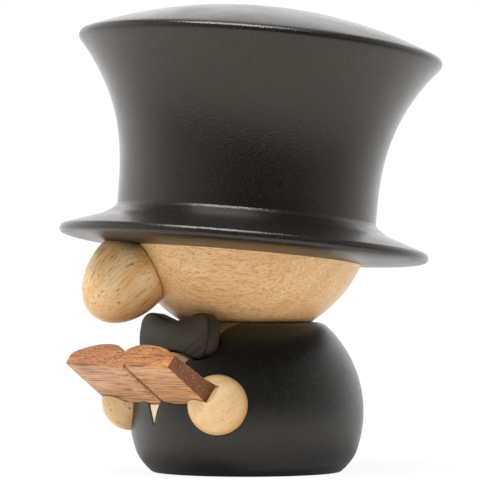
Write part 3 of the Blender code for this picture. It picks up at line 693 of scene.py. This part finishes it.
for name, side in HAND_SIDES.items():
    hand_place = Matrix.Translation(hand_centre(side))
    hand_grain = hand_place @ Matrix.Rotation(HAND_GRAIN_TURN, 4, "Z")
    hand_grain = hand_grain @ Matrix.Rotation(HAND_GRAIN_TILTS[name], 4, "Y")
    hand_wood = rubberwood(
        name + "_hand_rubberwood", hand_grain, *HAND_TONES[name], HAND_MARKS[name]
    )
    hand_shape = ball(HAND_RADIUS, hand_place)
    hand = finish(name + "_fist", hand_shape, hand_wood, "torso", name + "_hand")
    carve(hand, slot_plate(SEAT_GAP))
    carve(coat, ball(HAND_RADIUS + SEAT_GAP, hand_place))

# The dowels: plain beech pegs inside the neck, the hat, the nose and the hands, where glue holds
# them. Only the head is left free to turn on the neck's.
DOWEL_ROUGHNESS = 0.6
DOWEL_MARKS = [(0.0004, 0.0012, 0.62, 0.10, "#a57c52")]
DOWEL_BEECH = rubberwood(
    "dowel_beech", Matrix(), "#d6b48a", "#c7a075", DOWEL_MARKS, DOWEL_ROUGHNESS
)
for name in ("neck_dowel", "hat_dowel", "nose_dowel", "left_hand_dowel", "right_hand_dowel"):
    frame["nodes"][name].data.materials.clear()
    frame["nodes"][name].data.materials.append(DOWEL_BEECH)

# The head: a larger ball of pale wood, turned, cut flat below where it rests on the coat, on top
# for the hat and in front for the nose. The wood is oiled, and its grain lies level.
HEAD_RADIUS = 0.0323
HEAD_SEAT_RADIUS = 0.0168
HEAD_TOP_DROP = 0.0108
HEAD_EDGE = 0.0003
HEAD_TRIM = 3.0             # arc left out beside the seat's corner, in roundings
HEAD_TURN = math.radians(-19.5)
HEAD_GRAIN_TURN = math.radians(42.0)
HEAD_GRAIN_TILT = math.radians(94.0)
HEAD_MARKS = [(0.0006, 0.0100, 0.50, 0.26, "#cb8f4d"), (0.00028, 0.0015, 0.52, 0.24, "#bb7334")]
HAT_TILT = math.radians(5.25)
NOSE_SEAT_RADIUS = 0.0091
NOSE_SEAT_DROP = math.radians(26.0)
SEAM = 0.00006              # left where flat faces meet


def cut_flat(shape, point, normal):
    """Cuts away what lies beyond a plane and closes the flat."""
    geometry = shape.verts[:] + shape.edges[:] + shape.faces[:]
    cut = bmesh.ops.bisect_plane(
        shape, geom=geometry, plane_co=point, plane_no=normal, clear_outer=True
    )
    edges = [item for item in cut["geom_cut"] if isinstance(item, bmesh.types.BMEdge)]
    bmesh.ops.contextual_create(shape, geom=edges)


neck = Vector(joints["head_turn"]["pos_m"])
head_drop = math.sqrt(HEAD_RADIUS**2 - HEAD_SEAT_RADIUS**2)
head_centre = neck + Vector((0.0, 0.0, head_drop))
head_place = Matrix.Translation(head_centre) @ Matrix.Rotation(HEAD_TURN, 4, "Z")
hat_place = head_place @ Matrix.Rotation(-HAT_TILT, 4, "X")
hat_axis = hat_place.to_3x3() @ Vector((0.0, 0.0, 1.0))
nose_place = head_place @ Matrix.Rotation(math.pi / 2 + NOSE_SEAT_DROP, 4, "X")
nose_axis = nose_place.to_3x3() @ Vector((0.0, 0.0, 1.0))
nose_seat = math.sqrt(HEAD_RADIUS**2 - NOSE_SEAT_RADIUS**2)
head_trim = HEAD_TRIM * HEAD_EDGE / HEAD_RADIUS
head_low = -math.asin(head_drop / HEAD_RADIUS)
head_profile = arc(HEAD_RADIUS, 0.0, math.pi / 2, head_low + head_trim)
head_foot = COAT_TOP + SEAM - head_centre.z
head_profile += [(HEAD_SEAT_RADIUS, head_foot), (0.0, head_foot)]
head_shape = turned(head_profile, {len(head_profile) - 2: HEAD_EDGE})
bmesh.ops.transform(head_shape, matrix=head_place, verts=head_shape.verts)
cut_flat(head_shape, head_centre - hat_axis * HEAD_TOP_DROP, hat_axis)
cut_flat(head_shape, head_centre + nose_axis * nose_seat, nose_axis)
HEAD_GRAIN = Matrix.Translation(head_centre) @ Matrix.Rotation(HEAD_GRAIN_TURN, 4, "Z")
HEAD_GRAIN = HEAD_GRAIN @ Matrix.Rotation(HEAD_GRAIN_TILT, 4, "Y")
HEAD_WOOD = rubberwood("head_rubberwood", HEAD_GRAIN, "#e0bb8a", "#d5a76f", HEAD_MARKS)
finish("face", head_shape, HEAD_WOOD, "head", "head")

# The nose: an egg turned from a piece with coarser, darker pores, cut flat behind and glued on a
# flat of the head. Its top is trimmed to the slope of the brim above it.
NOSE_RADIUS = 0.0104
NOSE_TIP = 0.0148
NOSE_BACK = 0.0072
NOSE_STANDOFF = 0.0033
NOSE_AXIS_DROP = math.radians(47.0)
NOSE_PROFILE_STEPS = 64
NOSE_STEPS = 128
NOSE_GRAIN_TURN = math.radians(51.0)
NOSE_GRAIN_TILT = math.radians(45.0)
NOSE_MARKS = [(0.0004, 0.0120, 0.56, 0.25, "#bd8747"), (0.00050, 0.0046, 0.625, 0.08, "#98581f")]
NOSE_SHADE_REACH = 0.0100          # how far up the painted shade on its underside reaches
NOSE_SHADE_SHARE = 0.65
NOSE_SHADE_BROWN = "#a86e30"
HAT_SEAT_MARGIN = 0.0005
HAT_SEAT_RADIUS = math.sqrt(HEAD_RADIUS**2 - HEAD_TOP_DROP**2) + HAT_SEAT_MARGIN
BRIM_RADIUS = 0.0474
BRIM_RISE = 0.0015
BRIM_POWER = 1.7            # how late the brim's underside rises
BRIM_SWEEP = 0.0006         # more rise, close to the edge
BRIM_SWEEP_POWER = 12
BRIM_STEPS = 24
egg_profile = []
for step in range(NOSE_PROFILE_STEPS + 1):
    angle = math.pi / 2 - math.pi * step / NOSE_PROFILE_STEPS
    length = NOSE_TIP if angle > 0.0 else NOSE_BACK
    egg_profile.append((NOSE_RADIUS * math.cos(angle), length * math.sin(angle)))
nose_out = Vector((0.0, 0.0, nose_seat + SEAT_GAP))
egg_place = nose_place @ Matrix.Translation(nose_out + Vector((0.0, 0.0, NOSE_STANDOFF)))
egg_place = egg_place @ Matrix.Rotation(NOSE_AXIS_DROP - NOSE_SEAT_DROP, 4, "X")
nose_shape = turned(egg_profile, steps=NOSE_STEPS)
bmesh.ops.transform(nose_shape, matrix=egg_place, verts=nose_shape.verts)
cut_flat(nose_shape, nose_place @ nose_out, -nose_axis)
NOSE_GRAIN = Matrix.Translation(egg_place.to_translation())
NOSE_GRAIN = NOSE_GRAIN @ Matrix.Rotation(NOSE_GRAIN_TURN, 4, "Z")
NOSE_GRAIN = NOSE_GRAIN @ Matrix.Rotation(NOSE_GRAIN_TILT, 4, "Y")
NOSE_WOOD = rubberwood("nose_rubberwood", NOSE_GRAIN, "#ebc998", "#dca766", NOSE_MARKS)
nose_low = min(vert.co.z for vert in nose_shape.verts)
# the nose's underside is darkened and warmed: painted shade, tinted like light bounced off the book
paint_height_shade(NOSE_WOOD, nose_low + NOSE_SHADE_REACH, nose_low, NOSE_SHADE_SHARE, NOSE_SHADE_BROWN)
nose = finish("egg_nose", nose_shape, NOSE_WOOD, "head", "nose")
underside = []
for step in range(BRIM_STEPS + 1):
    share = 1.0 - step / BRIM_STEPS
    rise = BRIM_RISE * share**BRIM_POWER + BRIM_SWEEP * share**BRIM_SWEEP_POWER
    underside.append((HAT_SEAT_RADIUS + (BRIM_RADIUS - HAT_SEAT_RADIUS) * share, rise))
trim_profile = [(0.0, HEAD_RADIUS), (BRIM_RADIUS, HEAD_RADIUS)]
trim_profile += [(radius, height - HEAD_TOP_DROP) for radius, height in underside]
trim_profile.append((0.0, -HEAD_TOP_DROP))
trim = turned(trim_profile)
bmesh.ops.transform(trim, matrix=hat_place, verts=trim.verts)
carve(nose, trim)

# The top hat: turned from one block with the grain upright, its crown flaring to a sharp, softly
# broken rim under a low dome. It is stained black, rubbed to a finer satin than the coat and glued
# on a dowel in the head, tilted back.
HAT_TURN_STEPS = 256
BRIM_EDGE = 0.0024
BRIM_EDGE_ROUNDING = 0.0009
BRIM_LOWER_ROUNDING = 0.0006
STEP_TOP = 0.0104               # where the crown steps out towards the brim
STEP_BREAK = (0.0339, 0.0095)   # radius and height where its slope eases
STEP_FOOT = 0.0076
STEP_RADIUS = 0.0366
STEP_ROUNDINGS = (0.0002, 0.0004, 0.0014)
WAIST_RADIUS = 0.0333
WAIST_HEIGHT = 0.0124
RIM_RADIUS = 0.0478
RIM_HEIGHT = 0.0533
RIM_ROUNDING = 0.0021
FLARE_POWER = 2.6
FLARE_STEPS = 48
FLARE_FIRST = 4                 # its first step clear of the rim's rounding
DOME_RISE = 0.0103
DOME_STEPS = 40
DOME_LAST = 37                  # its last step clear of the rim's rounding
UNDERSIDE = 1                   # the hat's second material
UNDERSIDE_FACING = 0.8          # how squarely a face looks down
hat_base = SEAM - HEAD_TOP_DROP
dome_radius = (RIM_RADIUS**2 + DOME_RISE**2) / (2 * DOME_RISE)
dome_spread = math.asin(RIM_RADIUS / dome_radius)
hat_profile = []
for step in range(DOME_LAST + 1):
    angle = dome_spread * step / DOME_STEPS
    height = RIM_HEIGHT + DOME_RISE - dome_radius * (1.0 - math.cos(angle))
    hat_profile.append((dome_radius * math.sin(angle), height))
hat_rim = len(hat_profile)
hat_profile.append((RIM_RADIUS, RIM_HEIGHT))
for step in range(FLARE_FIRST, FLARE_STEPS + 1):
    share = 1.0 - step / FLARE_STEPS
    radius = WAIST_RADIUS + (RIM_RADIUS - WAIST_RADIUS) * share**FLARE_POWER
    hat_profile.append((radius, WAIST_HEIGHT + (RIM_HEIGHT - WAIST_HEIGHT) * share))
hat_step = len(hat_profile)
hat_profile += [(WAIST_RADIUS, STEP_TOP), STEP_BREAK, (STEP_RADIUS, STEP_FOOT)]
hat_profile.append((BRIM_RADIUS, BRIM_RISE + BRIM_EDGE))
hat_profile += underside + [(0.0, 0.0)]
hat_profile = [(radius, height + hat_base) for radius, height in hat_profile]
hat_roundings = (*STEP_ROUNDINGS, BRIM_EDGE_ROUNDING, BRIM_LOWER_ROUNDING)
hat_corners = {hat_step + place: rounding for place, rounding in enumerate(hat_roundings)}
hat_corners[hat_rim] = RIM_ROUNDING
hat_shape = turned(hat_profile, hat_corners, HAT_TURN_STEPS)
bmesh.ops.transform(hat_shape, matrix=hat_place, verts=hat_shape.verts)
HAT_BLACK = black_stain(
    "hat_black_stained_wood", hat_place, "#151311", "#2a2521", "#fff2e6",
    roughness=0.25, pore_depth=0.3, brush_depth=0.0, ior=1.48,
)
BRIM_BLACK = black_stain(
    "brim_underside_black_stained_wood", hat_place, "#131110", "#1d1a17", "#fff2e6",
    roughness=0.36, pore_depth=0.6, brush_depth=0.0, ior=1.50,
)
for face in hat_shape.faces:
    if face.normal.dot(hat_axis) < -UNDERSIDE_FACING:
        face.material_index = UNDERSIDE
hat = finish("tall_hat", hat_shape, HAT_BLACK, "head", "top_hat")
hat.data.materials.append(BRIM_BLACK)

# The studio: a round white table between white walls, with a dark room behind the camera and a
# grey ceiling. A long softbox hangs overhead and a narrow one stands high at the front left.
CAMERA_AZIMUTH = math.radians(51.0)
CAMERA_DISTANCE = 0.757
CAMERA_HEIGHT = 0.0459
FOCAL_PIXELS = 2950.0
IMAGE_SIZE = 480.0
AXIS_PIXEL = 246.5
HORIZON_PIXEL = 292.0
FLOOR_RADIUS = 0.48
FLOOR_STEPS = 96
FLOOR_FADE = 0.10               # where the table starts to fade out towards its edge
FLOOR_SEEN_WHITE = 0.93         # share of plain white in the table, as the camera sees it
FLOOR_MIRRORED_WHITE = 0.15     # and as it shows in a sheen
WALL_LEVEL = 1.45
WALL_SPAN = (-0.5, 0.97)        # how far towards the room the walls start and end to darken
ROOM_LEVEL = 0.10               # the dark room behind the camera
ROOM_AZIMUTH = math.radians(12.0)
WALL_GLOW = 1.12                # how much brighter the walls are above the table
WALL_GLOW_HEIGHTS = (0.02, 0.18)
CEILING_SHARE = 0.32            # of the wall's level
CEILING_HEIGHTS = (0.46, 0.72)
LAMP_TARGET = Vector((0.0, 0.0, 0.08))
towards_camera = Vector((math.sin(CAMERA_AZIMUTH), -math.cos(CAMERA_AZIMUTH), 0.0))
sideways = Vector((math.cos(CAMERA_AZIMUTH), math.sin(CAMERA_AZIMUTH), 0.0))
upwards = Vector((0.0, 0.0, 1.0))
towards_room = towards_camera * math.cos(ROOM_AZIMUTH) + sideways * math.sin(ROOM_AZIMUTH)

floor_shape = bmesh.new()
bmesh.ops.create_circle(floor_shape, cap_ends=True, segments=FLOOR_STEPS, radius=FLOOR_RADIUS)
floor_mesh = bpy.data.meshes.new("floor")
floor_shape.to_mesh(floor_mesh)
floor_shape.free()
floor = bpy.data.objects.new("floor", floor_mesh)
bpy.context.scene.collection.objects.link(floor)
# matt white paint that the camera sees as plain white and that fades out towards the table's edge
FLOOR_PAINT, tree, shader = new_material("matt_white_studio_paint")
tree.nodes.remove(shader)
path = add(tree, "LightPath").outputs
mirrored = calculate(tree, "MAXIMUM", path["Is Glossy Ray"], path["Is Transmission Ray"])
mirrored = calculate(tree, "MULTIPLY", mirrored, FLOOR_MIRRORED_WHITE)
share = calculate(tree, "MULTIPLY_ADD", path["Is Camera Ray"], FLOOR_SEEN_WHITE, mirrored)
matt = add(tree, "BsdfDiffuse", {"Color": linear("#f6f6f4")}).outputs["BSDF"]
white = add(tree, "Emission", {"Color": linear("#ffffff"), "Strength": 1.0}).outputs["Emission"]
painted = add(tree, "MixShader", {0: share, 1: matt, 2: white}).outputs["Shader"]
here = add(tree, "TexCoord").outputs["Object"]
distance = add(tree, "VectorMath", {0: here}, operation="LENGTH").outputs["Value"]
fade = ramp(tree, distance, FLOOR_FADE, FLOOR_RADIUS, interpolation_type="SMOOTHSTEP")
clear = add(tree, "BsdfTransparent").outputs["BSDF"]
faded = add(tree, "MixShader", {0: fade, 1: painted, 2: clear}).outputs["Shader"]
tree.links.new(faded, tree.nodes["Material Output"].inputs["Surface"])
floor.data.materials.append(FLOOR_PAINT)

world = bpy.data.worlds.new("white_studio")
world.use_nodes = True
bpy.context.scene.world = world
tree = world.node_tree
path = add(tree, "LightPath").outputs
direction = add(tree, "TexCoord").outputs["Generated"]
facing = add(tree, "VectorMath", {0: direction, 1: towards_room}, operation="DOT_PRODUCT")
walls = ramp(tree, facing.outputs["Value"], *WALL_SPAN, WALL_LEVEL, ROOM_LEVEL)
height = add(tree, "SeparateXYZ", {"Vector": direction}).outputs["Z"]
easing = {"interpolation_type": "SMOOTHSTEP"}
lit = ramp(tree, height, *WALL_GLOW_HEIGHTS, 1.0, WALL_GLOW, **easing)
ceiling = ramp(tree, height, *CEILING_HEIGHTS, 1.0, CEILING_SHARE, **easing)
level = calculate(tree, "MULTIPLY", walls, calculate(tree, "MULTIPLY", lit, ceiling))
backgrounds = []
for strength in (level, 1.0):
    links = {"Color": linear("#ffffff"), "Strength": strength}
    backgrounds.append(add(tree, "Background", links).outputs["Background"])
links = {0: path["Is Camera Ray"], 1: backgrounds[0], 2: backgrounds[1]}
both = add(tree, "MixShader", links).outputs["Shader"]
tree.links.new(both, tree.nodes["World Output"].inputs["Surface"])


def softbox(name, azimuth, elevation, distance, width, depth, brightness):
    """A rectangular lamp that faces the hat, placed round it from the camera's own direction."""
    level = towards_camera * math.cos(azimuth) + sideways * math.sin(azimuth)
    away = level * math.cos(elevation) + upwards * math.sin(elevation)
    data = bpy.data.lights.new(name, "AREA")
    data.shape = "RECTANGLE"
    data.size = width
    data.size_y = depth
    data.energy = brightness * math.pi * width * depth
    lamp = bpy.data.objects.new(name, data)
    lamp.location = LAMP_TARGET + away * distance
    lamp.rotation_euler = away.to_track_quat("Z", "Y").to_euler()
    bpy.context.scene.collection.objects.link(lamp)


softbox(
    "overhead_softbox", math.radians(-22.0), math.radians(77.0),
    distance=1.10, width=0.80, depth=0.50, brightness=10.0,
)
softbox(
    "front_softbox", math.radians(-24.0), math.radians(62.0),
    distance=1.10, width=0.80, depth=0.05, brightness=60.0,
)

camera_data = bpy.data.cameras.new("camera")
camera_data.sensor_fit = "HORIZONTAL"
camera_data.lens = camera_data.sensor_width * FOCAL_PIXELS / IMAGE_SIZE
camera = bpy.data.objects.new("camera", camera_data)
camera.location = towards_camera * CAMERA_DISTANCE + upwards * CAMERA_HEIGHT
camera.location -= sideways * (AXIS_PIXEL - IMAGE_SIZE / 2) * CAMERA_DISTANCE / FOCAL_PIXELS
pitch = math.atan((HORIZON_PIXEL - IMAGE_SIZE / 2) / FOCAL_PIXELS)
camera.rotation_euler = (math.pi / 2 + pitch, 0.0, CAMERA_AZIMUTH)
bpy.context.scene.collection.objects.link(camera)
bpy.context.scene.camera = camera
bpy.context.scene.view_settings.view_transform = "Standard"
